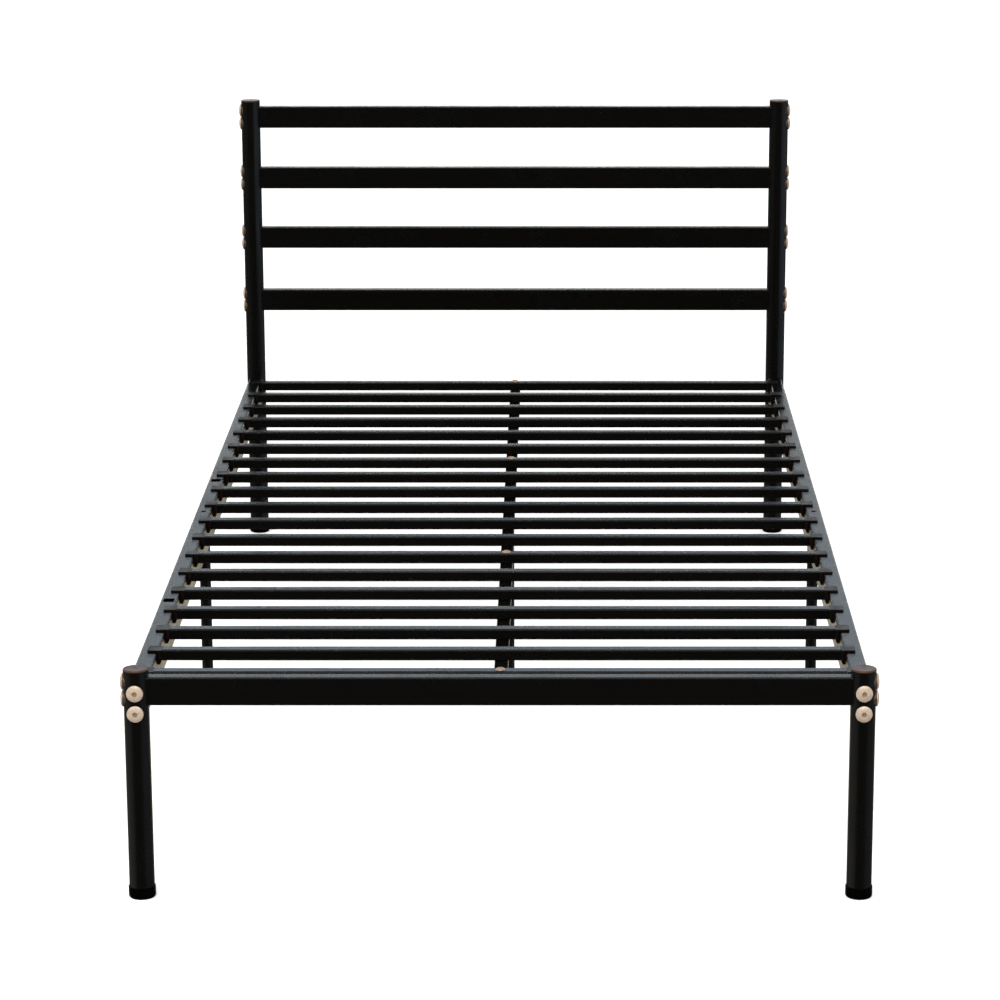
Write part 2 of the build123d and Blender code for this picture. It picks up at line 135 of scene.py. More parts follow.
ROUND_STEPS = 72
SHARP_ANGLE = math.radians(38)
HOLDER_SHARP_ANGLE = math.radians(25)

# Colours of the materials, each with the tone that its wear or mottling goes to, and the painted shade put
# in the bolt sockets
PAINT_COLOUR = (0.0017, 0.0016, 0.0013)
PAINT_WORN = (0.006, 0.0055, 0.005)
PAINT_ROUGHNESS = (0.19, 0.29)
PAINT_WORN_ROUGHER = 0.06
PLASTIC_ROUGHER = 0.14
METAL_ROUGHER = 0.12
# Painted shade: the darker colour the bolt sockets are painted, standing in for the shadow in the recess
SOCKET_PAINTED_SHADE = (0.42, 0.30, 0.21)

# Floor to the camera, and to the light that bounces off it: darker, so the undersides stay dark
FLOOR_REACH = 60.0
FLOOR_TONES = ((0.90, 0.90, 0.895), (0.915, 0.915, 0.91))
FLOOR_BOUNCE = (0.26, 0.25, 0.24)

# The studio as gloss sees it. Each light is a colour and the ramps that bound it: a part of the
# direction, the value where the light is off and the value where it is full.
GLOSS_BASE = (0.03, 0.03, 0.03)
GLOSS_LIGHTS = {
    "horizon": ((3.20, 3.15, 3.05), ("z", 0.175, 0.145), ("z", 0.085, 0.115), ("y", 0.5, 0.8)),
    "backdrop": ((1.04, 1.25, 1.43), ("z", 0.215, 0.335), ("z", 0.60, 0.38), ("y", 0.0, 0.6)),
    "warm_floor": (
        (0.64, 0.56, 0.41), ("z", -0.18, -0.25), ("z", -0.36, -0.32), ("y", 0.55, 0.85),
        ("aside", 0.001, 0.004),
    ),
    "right_strip": (
        (0.22, 0.29, 0.37), ("z", 0.3, 0.05), ("z", -0.30, -0.22), ("x", 0.40, 0.80), ("y", 0.5, 0.2),
    ),
    "left_floor": ((0.19, 0.19, 0.19), ("z", -0.26, -0.33), ("x", -0.45, -0.85), ("y", 0.6, 0.3)),
    "sides": ((0.06, 0.06, 0.06), ("aside", 0.3, 0.7)),
    "overhead": ((0.45, 0.45, 0.46), ("z", 0.80, 0.92)),
    "front": ((1.2, 1.15, 1.08), ("z", 0.35, 0.55), ("y", -0.45, -0.7)),
}

# The studio as it lights matt faces
MATT_BASE = (0.13, 0.13, 0.13)
MATT_LIGHTS = {
    "overhead": ((1.85, 1.85, 1.85), ("z", 0.45, 0.8)),
    "front": ((1.50, 1.48, 1.44), ("z", -0.3, 0.0), ("y", -0.5, -0.85)),
}
BACKDROP_SEEN = (1.0, 1.0, 1.0)

# Soft lamps: place, aim, size and power
LAMP_COLOUR = (1.0, 0.98, 0.95)
LAMPS = {
    "key_softbox": ((-2.2, -4.2, 4.4), (0, -0.4, 0.2), 2.4, 190.0),
    "front_softbox": ((0.3, -6.5, 3.0), (0, -0.8, 0.4), 3.5, 160.0),
}

CAMERA_PLACE = (0.0747, -5.4435, 1.7158)
CAMERA_DOWN = 14.457
CAMERA_SENSOR = 36.0
CAMERA_LENS = 123.74
CAMERA_SHIFT = (-0.0546, 0.0005)
CAMERA_REACH = 200.0


# ---------------------------------------------------------------- nodes and materials


class Tree:
    """A node tree with short ways to add to it. Each value is a socket, a number or a colour."""

    def __init__(self, tree):
        self.nodes = tree.nodes
        self.links = tree.links

    def feed(self, socket, value):
        """Sets a socket or links it to another."""
        if isinstance(value, tuple):
            socket.default_value = (*value, 1)
        elif isinstance(value, (int, float)):
            socket.default_value = value
        else:
            self.links.new(value, socket)

    def mix(self, factor, first, second, blend="MIX"):
        """A colour between two, or their sum if blend is ADD and the factor is 1."""
        node = self.nodes.new("ShaderNodeMix")
        node.data_type = "RGBA"
        node.blend_type = blend
        for name, value in (("Factor", factor), ("A", first), ("B", second)):
            self.feed(node.inputs[name], value)
        return node.outputs["Result"]

    def noise(self, vector, scale, detail=2.0, rough=0.5):
        """The value of a noise texture; scale is in waves per metre."""
        node = self.nodes.new("ShaderNodeTexNoise")
        node.inputs["Scale"].default_value = scale
        node.inputs["Detail"].default_value = detail
        node.inputs["Roughness"].default_value = rough
        self.links.new(vector, node.inputs["Vector"])
        return node.outputs["Fac"]

    def ramp(self, value, low, high, to_low=0.0, to_high=1.0):
        """Maps a value from low..high to to_low..to_high with a smooth step."""
        node = self.nodes.new("ShaderNodeMapRange")
        node.interpolation_type = "SMOOTHSTEP"
        node.inputs["From Min"].default_value = low
        node.inputs["From Max"].default_value = high
        node.inputs["To Min"].default_value = to_low
        node.inputs["To Max"].default_value = to_high
        self.links.new(value, node.inputs["Value"])
        return node.outputs["Result"]

    def maths(self, kind, first, second):
        """The result of a maths node with two inputs."""
        node = self.nodes.new("ShaderNodeMath")
        node.operation = kind
        self.feed(node.inputs[0], first)
        self.feed(node.inputs[1], second)
        return node.outputs["Value"]

    def attribute(self, name):
        """A number kept on the vertices."""
        node = self.nodes.new("ShaderNodeAttribute")
        node.attribute_name = name
        return node.outputs["Fac"]

    def bump(self, shader, *heights):
        """Stacks bump nodes on a shader, one for each (height socket, distance in metres)."""
        previous = None
        for height, distance in heights:
            node = self.nodes.new("ShaderNodeBump")
            node.inputs["Strength"].default_value = 1.0
            node.inputs["Distance"].default_value = distance
            self.links.new(height, node.inputs["Height"])
            if previous is not None:
                self.links.new(previous, node.inputs["Normal"])
            previous = node.outputs["Normal"]
        self.links.new(previous, shader.inputs["Normal"])


def start_material(name):
    """A new material, its node tree, its shader and its object coordinates."""
    material = bpy.data.materials.new(name)
    material.use_nodes = True
    tree = Tree(material.node_tree)
    shader = tree.nodes["Principled BSDF"]
    place = tree.nodes.new("ShaderNodeTexCoord").outputs["Object"]
    return material, tree, shader, place


def paint_material():
    """Black stoved paint: faint orange peel, handling marks and thin wear on the edges."""
    material, tree, shader, place = start_material("black_paint")
    shader.inputs["IOR"].default_value = 1.5
    patches = tree.noise(place, scale=90.0, detail=3.0, rough=0.6)
    worn = tree.maths("MULTIPLY", tree.attribute("edge"), tree.ramp(patches, 0.52, 0.68))
    tree.feed(shader.inputs["Base Color"], tree.mix(worn, PAINT_COLOUR, PAINT_WORN))
    smudge = tree.noise(place, scale=14.0, detail=4.0, rough=0.6)
    handled = tree.ramp(smudge, 0.35, 0.7, *PAINT_ROUGHNESS)
    rough = tree.maths("ADD", handled, tree.maths("MULTIPLY", worn, PAINT_WORN_ROUGHER))
    tree.feed(shader.inputs["Roughness"], rough)
    peel = tree.noise(place, scale=420.0, detail=1.0, rough=0.4)
    wave = tree.noise(place, scale=60.0, detail=1.0, rough=0.4)
    tree.bump(shader, (wave, 0.012 * MM), (peel, 0.002 * MM))
    return material


def plastic_material(name, colour, light, roughness, gloss, tint=(1, 1, 1), coat=0.0):
    """Moulded plastic: fine grain, slow mottling and rubbed patches."""
    material, tree, shader, place = start_material(name)
    shader.inputs["IOR"].default_value = 1.48
    shader.inputs["Specular IOR Level"].default_value = gloss
    shader.inputs["Specular Tint"].default_value = (*tint, 1)
    shader.inputs["Coat Weight"].default_value = coat
    shader.inputs["Coat Roughness"].default_value = 0.10
    mottle = tree.noise(place, scale=120.0, detail=3.0, rough=0.6)
    tree.feed(shader.inputs["Base Color"], tree.mix(tree.ramp(mottle, 0.3, 0.75), colour, light))
    rub = tree.noise(place, scale=45.0, detail=3.0, rough=0.6)
    rough = tree.ramp(rub, 0.3, 0.7, roughness, roughness + PLASTIC_ROUGHER)
    tree.feed(shader.inputs["Roughness"], rough)
    tree.bump(shader, (tree.noise(place, scale=900.0), 0.04 * MM))
    return material


def metal_material(name, colour, shade, roughness, metallic):
    """Plated steel: uneven sheen, patches of dulled plating, fine tumbling marks and painted shade darkening
    the sockets.
    """
    material, tree, shader, place = start_material(name)
    shader.inputs["Metallic"].default_value = metallic
    blotch = tree.noise(place, scale=260.0, detail=4.0, rough=0.6)
    plating = tree.mix(tree.ramp(blotch, 0.35, 0.7), colour, shade)
    # Painted shade: the marked socket vertices darken the plating towards a shadow colour
    tree.feed(shader.inputs["Base Color"], tree.mix(tree.attribute("socket_shade"), plating, SOCKET_PAINTED_SHADE))
    rough = tree.ramp(blotch, 0.3, 0.75, roughness, roughness + METAL_ROUGHER)
    tree.feed(shader.inputs["Roughness"], rough)
    tree.bump(shader, (tree.noise(place, scale=1500.0, detail=3.0, rough=0.6), 0.002 * MM))
    return material


PAINT = paint_material()
CAP_PLASTIC = plastic_material(
    "cap_plastic",
    colour=(0.044, 0.023, 0.014),
    light=(0.062, 0.034, 0.023),
    roughness=0.40,
    gloss=0.10,
    tint=(1.0, 0.70, 0.56),
    coat=0.35,
)
FOOT_PLASTIC = plastic_material(
    "foot_plastic",
    colour=(0.0003, 0.0003, 0.0003),
    light=(0.0007, 0.0007, 0.0007),
    roughness=0.5,
    gloss=0.06,
)
HOLDER_PLASTIC = plastic_material(
    "holder_plastic",
    colour=(0.0026, 0.0015, 0.0010),
    light=(0.0048, 0.0029, 0.0021),
    roughness=0.34,
    gloss=0.50,
    tint=(1.0, 0.76, 0.66),
)
NICKEL = metal_material(
    "warm_nickel", colour=(0.74, 0.61, 0.48), shade=(0.60, 0.47, 0.35), roughness=0.26, metallic=0.5
)
AGED_NICKEL = metal_material(
    "aged_nickel", colour=(0.44, 0.33, 0.25), shade=(0.30, 0.21, 0.15), roughness=0.30, metallic=0.5
)
WASHER_NICKEL = metal_material(
    "dull_nickel", colour=(0.22, 0.16, 0.12), shade=(0.14, 0.10, 0.08), roughness=0.40, metallic=0.8
)
ZINC = metal_material(
    "zinc_plate", colour=(0.62, 0.64, 0.66), shade=(0.50, 0.52, 0.55), roughness=0.34, metallic=1.0
)


# ---------------------------------------------------------------- mesh helpers


def box_of(node):
    """Middle and size of a CAD node's box."""
    low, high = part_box(node)
    return (low + high) / 2, high - low


def finish_piece(name, bm, material, node):
    """Turns a bmesh into a piece that rides on the frame and stands for its CAD node."""
    bmesh.ops.recalc_face_normals(bm, faces=bm.faces)
    mesh = bpy.data.meshes.new(name)
    bm.to_mesh(mesh)
    bm.free()
    mesh.polygons.foreach_set("use_smooth", [True] * len(mesh.polygons))
    mesh.set_sharp_from_angle(angle=SHARP_ANGLE)
    mesh.materials.append(material)
    piece = bpy.data.objects.new(name, mesh)
    bpy.context.scene.collection.objects.link(piece)
    weighted = piece.modifiers.new("flat_faces", "WEIGHTED_NORMAL")
    weighted.keep_sharp = True
    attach(piece, BODY)
    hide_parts(node)


def bridge(bm, first, second):
    """Faces between two closed loops with the same number of vertices."""
    count = len(first)
    for k in range(count):
        n = (k + 1) % count
        bm.faces.new((first[k], first[n], second[n], second[k]))


def rounded_outline(width, height, corner, across, upright, arc):
    """Points of a rounded rectangle, clockwise from the left end of its top, and 1 for those on a corner."""
    right, top = width / 2, height / 2
    half_w, half_h = right - corner, top - corner
    points, edges = [], []
    runs = (
        ((-half_w, top), (half_w, top), across, (half_w, half_h), 90),
        ((right, half_h), (right, -half_h), upright, (half_w, -half_h), 0),
        ((half_w, -top), (-half_w, -top), across, (-half_w, -half_h), -90),
        ((-right, -half_h), (-right, half_h), upright, (-half_w, half_h), 180),
    )
    for start, end, steps, centre, from_angle in runs:
        for k in range(steps + 1):
            points.append(Vector(start).lerp(Vector(end), k / steps))
            edges.append(0.0)
        for k in range(1, arc):
            angle = math.radians(from_angle - 90 * k / arc)
            points.append(Vector(centre) + corner * Vector((math.cos(angle), math.sin(angle))))
            edges.append(1.0)
    return points, edges


def round_hole(radius, steps):
    """Points round a circle, in four quarters of `steps` parts, from the low corner of both directions."""
    angles = [math.radians(225 + 90 * k / steps) for k in range(4 * steps)]
    return [radius * Vector((math.cos(angle), math.sin(angle))) for angle in angles]


def slot_hole(half_x, half_y, corner, steps):
    """Points round a rectangle with rounded corners, in four sides of `steps` parts each."""
    inset = corner * (1 - math.sqrt(0.5))
    outline = []
    for side in range(4):
        # Each side is drawn as the low side of an upright rectangle and then turned
        half, reach = (half_x, half_y) if side % 2 == 0 else (half_y, half_x)
        run = [(-half + inset, -reach + inset)]
        run += [((2 * k / (steps - 2) - 1) * (half - corner), -reach) for k in range(steps - 1)]
        outline += [Matrix.Rotation(math.radians(90 * side), 2) @ Vector(point) for point in run]
    return outline


class Tube:
    """A straight tube of rounded rectangular section, with coped ends and holes in its top wall."""

    ACROSS = 8
    UPRIGHT = 2
    ARC = 6
    END_RIM = 1.0 * MM
    END_ROWS = 2
    PLAIN_FROM_END = 40.0 * MM
    PLAIN_STEPS = 12
    PATCH_CLEARANCE = 10.0 * MM
    SMALLEST_CORNER = 0.3 * MM
    STATION_DIGITS = 6

    def __init__(self, along, middle, length, width, height, wall, corner, cope=None):
        self.along = along
        self.middle = middle
        self.half = length / 2
        self.cope = cope
        counts = (self.ACROSS, self.UPRIGHT, self.ARC)
        self.outer, self.edges = rounded_outline(width, height, corner, *counts)
        inner_corner = max(corner - wall, self.SMALLEST_CORNER)
        self.inner, _ = rounded_outline(width - 2 * wall, height - 2 * wall, inner_corner, *counts)
        self.holes = []

    def add_hole(self, at, outline, margin):
        """Adds a hole in the top; `at` is measured along the tube from its middle."""
        reach = max(abs(point.y) for point in outline) + margin
        self.holes.append((at, outline, reach))

    def place(self, s, t, z):
        """A point of the tube in the row frame, from its distance along, across and up."""
        if self.along == "x":
            return Vector((self.middle.x + s, self.middle.y + t, self.middle.z + z))
        return Vector((self.middle.x - t, self.middle.y + s, self.middle.z + z))

    def end(self, point):
        """Where the tube ends at a point of its section."""
        if self.cope is None:
            return self.half
        reach, radius = self.cope
        return reach - math.sqrt(radius**2 - min(abs(point.x), radius) ** 2)

    def stations(self):
        """Distances along the tube between its ends, with a patch of them round each hole."""
        marks = set()
        patches = {}
        for at, _, reach in self.holes:
            steps = [at + reach * (2 * k / self.ACROSS - 1) for k in range(self.ACROSS + 1)]
            patches[at] = tuple(round(s, self.STATION_DIGITS) for s in steps)
            marks.update(patches[at])
        plain_half = self.half - self.PLAIN_FROM_END
        gap = self.PATCH_CLEARANCE
        for k in range(self.PLAIN_STEPS + 1):
            s = plain_half * (2 * k / self.PLAIN_STEPS - 1)
            if all(not (patch[0] - gap < s < patch[-1] + gap) for patch in patches.values()):
                marks.add(round(s, self.STATION_DIGITS))
        return sorted(marks), patches

    def shell(self, bm, outline, stations, patches, edge_layer):
        """One skin of the tube. Returns its two end loops and its hole loops."""
        rows = [lambda p: -self.end(p), lambda p: self.END_RIM - self.end(p)]
        rows += [lambda p, s=s: s for s in stations]
        rows += [lambda p: self.end(p) - self.END_RIM, lambda p: self.end(p)]
        loops = []
        for row in rows:
            loop = []
            for point, edge in zip(outline, self.edges):
                vert = bm.verts.new(self.place(row(point), point.x, point.y))
                vert[edge_layer] = edge
                loop.append(vert)
            loops.append(loop)
        skipped = set()
        hole_loops = []
        for at, hole, _ in self.holes:
            first = stations.index(patches[at][0]) + self.END_ROWS
            steps = self.ACROSS
            skipped.update((k, j) for k in range(first, first + steps) for j in range(steps))
            border = [loops[first][m] for m in range(steps)]
            border += [loops[first + m][steps] for m in range(steps)]
            border += [loops[first + steps][steps - m] for m in range(steps)]
            border += [loops[first + steps - m][0] for m in range(steps)]
            level = outline[0].y
            rim = [bm.verts.new(self.place(at + point.y, point.x, level)) for point in hole]
            bridge(bm, border, rim)
            hole_loops.append(rim)
        count = len(outline)
        for k, (near, far) in enumerate(zip(loops, loops[1:])):
            for j in range(count):
                if (k, j) not in skipped:
                    n = (j + 1) % count
                    bm.faces.new((near[j], near[n], far[n], far[j]))
        return [loops[0], loops[-1], *hole_loops]

    def build(self):
        """The whole tube as a closed mesh."""
        bm = bmesh.new()
        edge_layer = bm.verts.layers.float.new("edge")
        stations, patches = self.stations()
        outside = self.shell(bm, self.outer, stations, patches, edge_layer)
        inside = self.shell(bm, self.inner, stations, patches, edge_layer)
        for outer_loop, inner_loop in zip(outside, inside):
            bridge(bm, outer_loop, inner_loop)
            for vert in outer_loop:
                vert[edge_layer] = 1.0
        # No face uses the vertices inside a patch round a hole
        loose = [v for v in bm.verts if not v.link_faces]
        bmesh.ops.delete(bm, geom=loose, context="VERTS")
        return bm


def lathe(bm, profile, middle):
    """Spins (radius, height) points round an upright axis; a radius of 0 closes with a fan of faces."""
    rings = []
    for radius, height in profile:
        if radius == 0:
            rings.append([bm.verts.new((middle.x, middle.y, height))])
            continue
        turns = [2 * math.pi * k / ROUND_STEPS for k in range(ROUND_STEPS)]
        points = [
            (middle.x + radius * math.cos(turn), middle.y + radius * math.sin(turn), height)
            for turn in turns
        ]
        rings.append([bm.verts.new(point) for point in points])
    for a, b in zip(rings, rings[1:]):
        if len(a) > 1 and len(b) > 1:
            bridge(bm, a, b)
            continue
        for k in range(ROUND_STEPS):
            n = (k + 1) % ROUND_STEPS
            fan = (a[0], b[n], b[k]) if len(a) == 1 else (a[k], a[n], b[0])
            bm.faces.new(fan)
    return rings


# ---------------------------------------------------------------- posts, legs, caps and feet


def round_tube(name, node, wall):
    """A round tube, open at both ends, with slightly broken edges."""
    middle, size = box_of(node)
    radius = size.x / 2
    bottom, top = middle.z - size.z / 2, middle.z + size.z / 2
    rows = max(4, round(size.z / TUBE_ROW))
    outer = [(radius - TUBE_CHAMFER, bottom), (radius, bottom + TUBE_CHAMFER)]
    outer += [(radius, bottom + 4 * TUBE_CHAMFER)]
    outer += [(radius, bottom + size.z * k / rows) for k in range(1, rows)]
    outer += [(radius, top - 4 * TUBE_CHAMFER)]
    outer += [(radius, top - TUBE_CHAMFER), (radius - TUBE_CHAMFER, top)]
    inner = [(radius - wall, top), (radius - wall, bottom)]
    bm = bmesh.new()
    edge_layer = bm.verts.layers.float.new("edge")
    rings = lathe(bm, outer + inner, middle)
    bridge(bm, rings[-1], rings[0])
    last = len(outer) - 1
    for index in (0, 1, last - 1, last):
        for vert in rings[index]:
            vert[edge_layer] = 1.0
    finish_piece(name, bm, PAINT, node)


def post_cap(name, node):
    """A moulded plug: crowned flange with a soft edge, a gate mark and a hollow spigot."""
    middle, size = box_of(node)
    radius = size.x / 2
    bottom, top = middle.z - size.z / 2, middle.z + size.z / 2
    under = top - CAP_FLANGE
    spigot = radius - POST_WALL - CAP_FIT
    hollow = spigot - CAP_SPIGOT_WALL
    edge_start = radius * CAP_EDGE_START
    gate_floor = top - CAP_GATE_DEPTH
    profile = [(0, gate_floor), (CAP_GATE_R, gate_floor), (CAP_GATE_R + 0.3 * MM, top - 0.05 * MM)]
    crown_steps = 8
    for k in range(1, crown_steps + 1):
        r = edge_start * k / crown_steps
        outside_gate = CAP_GATE_R + 0.6 * MM + 0.05 * MM * k
        profile.append((max(r, outside_gate), top - CAP_CROWN * (r / radius) ** 2))
    edge_steps = 7
    for k in range(1, edge_steps + 1):
        angle = math.radians(90 * k / edge_steps)
        r = edge_start + (radius - edge_start) * math.sin(angle)
        profile.append((r, top - CAP_EDGE_LEVEL - CAP_EDGE_DROP * (1 - math.cos(angle))))
    profile += [(radius, under + 0.25 * MM), (radius - 0.25 * MM, under), (spigot, under)]
    profile += [(spigot, bottom + 0.8 * MM), (spigot - CAP_SPIGOT_TAPER, bottom)]
    profile += [(hollow, bottom), (hollow, under), (0, under)]
    bm = bmesh.new()
    lathe(bm, profile, middle)
    finish_piece(name, bm, CAP_PLASTIC, node)


def foot_pad(name, node, tube_r):
    """A moulded cup with a rounded sole, a recessed underside and a soft lip."""
    middle, size = box_of(node)
    radius = size.x / 2
    top = middle.z + size.z / 2
    sole = min(PAD_SOLE_R, tube_r / 3)
    inner = tube_r + PAD_FIT
    profile = [(0, PAD_HOLLOW), (radius * 0.45, PAD_HOLLOW), (radius * 0.5, 0.0)]
    sole_steps = 7
    for k in range(sole_steps + 1):
        angle = math.radians(90 * k / sole_steps)
        profile.append((radius - sole + sole * math.sin(angle), sole - sole * math.cos(angle)))
    profile += [(radius, top * 0.55), (radius, top - PAD_LIP)]
    lip = (radius - inner) / 2
    lip_steps = 4
    for k in range(1, lip_steps + 1):
        angle = math.radians(90 * k / lip_steps)
        profile.append((radius - lip + lip * math.cos(angle), top - PAD_LIP + PAD_LIP * math.sin(angle)))
    profile += [(inner + 0.1 * MM, top), (inner, top - 0.4 * MM), (inner, PAD_FLOOR), (0, PAD_FLOOR)]
    bm = bmesh.new()
    lathe(bm, profile, middle)
    finish_piece(name, bm, FOOT_PLASTIC, node)


for end in ENDS:
    for side in SIDES:
        post_node = f"{end}_post_{side}"
        round_tube(f"{end}_post_tube_{side}", post_node, POST_WALL)
        post_cap(f"{end}_post_plug_{side}", f"{end}_post_cap_{side}")
        foot_pad(f"{end}_post_cup_{side}", f"{end}_post_foot_pad_{side}", box_of(post_node)[1].x / 2)

for place in ("left", "centre", "right"):
    leg_node = f"mid_leg_{place}"
    round_tube(f"middle_leg_tube_{place}", leg_node, MID_LEG_WALL)
    foot_pad(f"middle_leg_cup_{place}", f"mid_leg_foot_pad_{place}", box_of(leg_node)[1].x / 2)


# ---------------------------------------------------------------- rails, bars and slats

post_middle, post_size = box_of("head_post_right")
cope_r = post_size.x / 2 + COPE_GAP
leg_y = box_of("mid_leg_left")[0].y
access_hole = round_hole(ACCESS_HOLE_R, Tube.ACROSS)
bolt_hole = round_hole(SLAT_BOLT_HOLE_R, Tube.ACROSS)
slot_outline = slot_hole(SLOT_HALF_X, SLOT_HALF_Y, SLOT_CORNER, Tube.ACROSS)


def cross_rail(name, node):
    """A flat tube between two posts, coped to them."""
    middle, size = box_of(node)
    cope = (abs(post_middle.x), cope_r)
    rail = Tube("x", middle, size.x, size.y, size.z, BAR_WALL, BAR_CORNER, cope)
    finish_piece(name, rail.build(), PAINT, node)


cross_rail("foot_rail_tube", "foot_end_rail")
for level in BAR_LEVELS:
    cross_rail(f"headboard_tube_{level}", f"headboard_bar_{level}")

for side in SIDES:
    rail_node = f"side_rail_{side}"
    middle, size = box_of(rail_node)
    cope = (abs(post_middle.y), cope_r)
    rail = Tube("y", middle, size.y, size.x, size.z, SIDE_RAIL_WALL, SIDE_RAIL_CORNER, cope)
    rail.add_hole(leg_y - middle.y, access_hole, ACCESS_MARGIN)
    if side == "left":
        for y in LEFT_SLOTS_Y:
            rail.add_hole(y - middle.y, slot_outline, SLOT_MARGIN)
    finish_piece(f"side_rail_tube_{side}", rail.build(), PAINT, rail_node)

middle, size = box_of("centre_rail")
rail = Tube("y", middle, size.y, size.x, size.z, CENTRE_RAIL_WALL, CENTRE_RAIL_CORNER)
rail.add_hole(leg_y - middle.y, access_hole, ACCESS_MARGIN)
for number in BOLTED_SLATS:
    slat_y = box_of(f"slat_{number:02d}")[0].y
    rail.add_hole(slat_y - middle.y, bolt_hole, SLAT_BOLT_MARGIN)
finish_piece("centre_rail_tube", rail.build(), PAINT, "centre_rail")

for number in range(1, SLAT_COUNT + 1):
    slat_node = f"slat_{number:02d}"
    middle, size = box_of(slat_node)
    slat = Tube("x", middle, size.x, size.y, size.z, SLAT_WALL, SLAT_CORNER)
    if number in BOLTED_SLATS:
        slat.add_hole(0.0, bolt_hole, SLAT_BOLT_MARGIN)
    finish_piece(f"slat_tube_{number:02d}", slat.build(), PAINT, slat_node)


# ---------------------------------------------------------------- slat holders


def holder_mesh():
    """One slat holder, with +X towards the outside of the bed and Z = 0 on top of the side rail."""
    face = -HOLDER_GAP
    back = face - HOLDER_FLANGE
    tip, top, half = HOLDER_REACH, HOLDER_TOP, HOLDER_HALF
    rail_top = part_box("side_rail_left")[1].z
    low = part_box("slat_01")[0].z - rail_top
    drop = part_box("slat_holders_left")[0].z - rail_top
    bm = bmesh.new()
    # The section is an L: a tab on the rail and a flange beside it. The flange's underside is left
    # open for the tooth, and each end is two faces that meet where the tab meets the flange.
    section = [(back, top), (face, top), (tip, top), (tip, 0), (face, 0), (face, low), (back, low)]
    near = [bm.verts.new((x, -half, z)) for x, z in section]
    far = [bm.verts.new((x, half, z)) for x, z in section]
    for k in (0, 1, 2, 3, 4, 6):
        n = (k + 1) % len(section)
        bm.faces.new((near[k], near[n], far[n], far[k]))
    for row in (near, far):
        bm.faces.new((row[0], row[1], row[4], row[5], row[6]))
        bm.faces.new((row[1], row[2], row[3], row[4]))
    inner_x = face - TOOTH_DEPTH
    tooth = [(face, -TOOTH_HALF), (face, TOOTH_HALF), (inner_x, TOOTH_HALF), (inner_x, -TOOTH_HALF)]
    tips = [bm.verts.new((x, y, drop)) for x, y in tooth]
    bridge(bm, [near[5], far[5], far[6], near[6]], tips)
    bm.faces.new(tips)
    bmesh.ops.recalc_face_normals(bm, faces=bm.faces)
    near_tip = 0.001 * MM
    tab_corners = [
        edge
        for edge in bm.edges
        if all(abs(vert.co.x - tip) < near_tip for vert in edge.verts)
        and abs(edge.verts[0].co.z - edge.verts[1].co.z) > near_tip
    ]
    bmesh.ops.bevel(
        bm, geom=tab_corners, offset=HOLDER_TAB_CORNER, segments=6, profile=0.5, affect="EDGES"
    )
    sharp = [edge for edge in bm.edges if edge.calc_face_angle() > HOLDER_SHARP_ANGLE]
    bmesh.ops.bevel(
        bm, geom=sharp, offset=HOLDER_EDGE, segments=3, profile=0.5, affect="EDGES", clamp_overlap=True
    )
    # Hollow plug that goes into the slat
    middle_z = (top + low) / 2
    outline, _ = rounded_outline(2 * PLUG_HALF_WIDTH, 2 * PLUG_HALF_HEIGHT, PLUG_CORNER, 2, 2, 3)
    plug_end = back - PLUG_LENGTH
    stages = [(back + 0.4 * MM, 1.0), (plug_end + 1.0 * MM, 1.0), (plug_end, PLUG_LEAD)]
    stages += [(plug_end, PLUG_BORE), (back - 1.0 * MM, PLUG_BORE)]
    loops = []
    for x, scale in stages:
        loops.append([bm.verts.new((x, p.x * scale, middle_z + p.y * scale)) for p in outline])
    for a, b in zip(loops, loops[1:]):
        bridge(bm, a, b)
    bm.faces.new(loops[0])
    bm.faces.new(loops[-1])
    bmesh.ops.recalc_face_normals(bm, faces=bm.faces)
    mesh = bpy.data.meshes.new("holder_pattern")
    bm.to_mesh(mesh)
    bm.free()
    return mesh


holder_pattern = holder_mesh()
for side, sign in SIDES.items():
    rail_middle, rail_size = box_of(f"side_rail_{side}")
    turn = Matrix.Rotation(0.0 if sign > 0 else math.pi, 4, "Z")
    bm = bmesh.new()
    for number in range(1, SLAT_COUNT + 1):
        slat_y = box_of(f"slat_{number:02d}")[0].y
        inner_x = rail_middle.x - sign * rail_size.x / 2
        origin = Vector((inner_x, slat_y, rail_middle.z + rail_size.z / 2))
        before = len(bm.verts)
        bm.from_mesh(holder_pattern)
        bm.verts.ensure_lookup_table()
        bmesh.ops.transform(bm, matrix=Matrix.Translation(origin) @ turn, verts=bm.verts[before:])
    name = f"slat_end_holders_{side}"
    finish_piece(name, bm, HOLDER_PLASTIC, f"slat_holders_{side}")


# ---------------------------------------------------------------- bolts


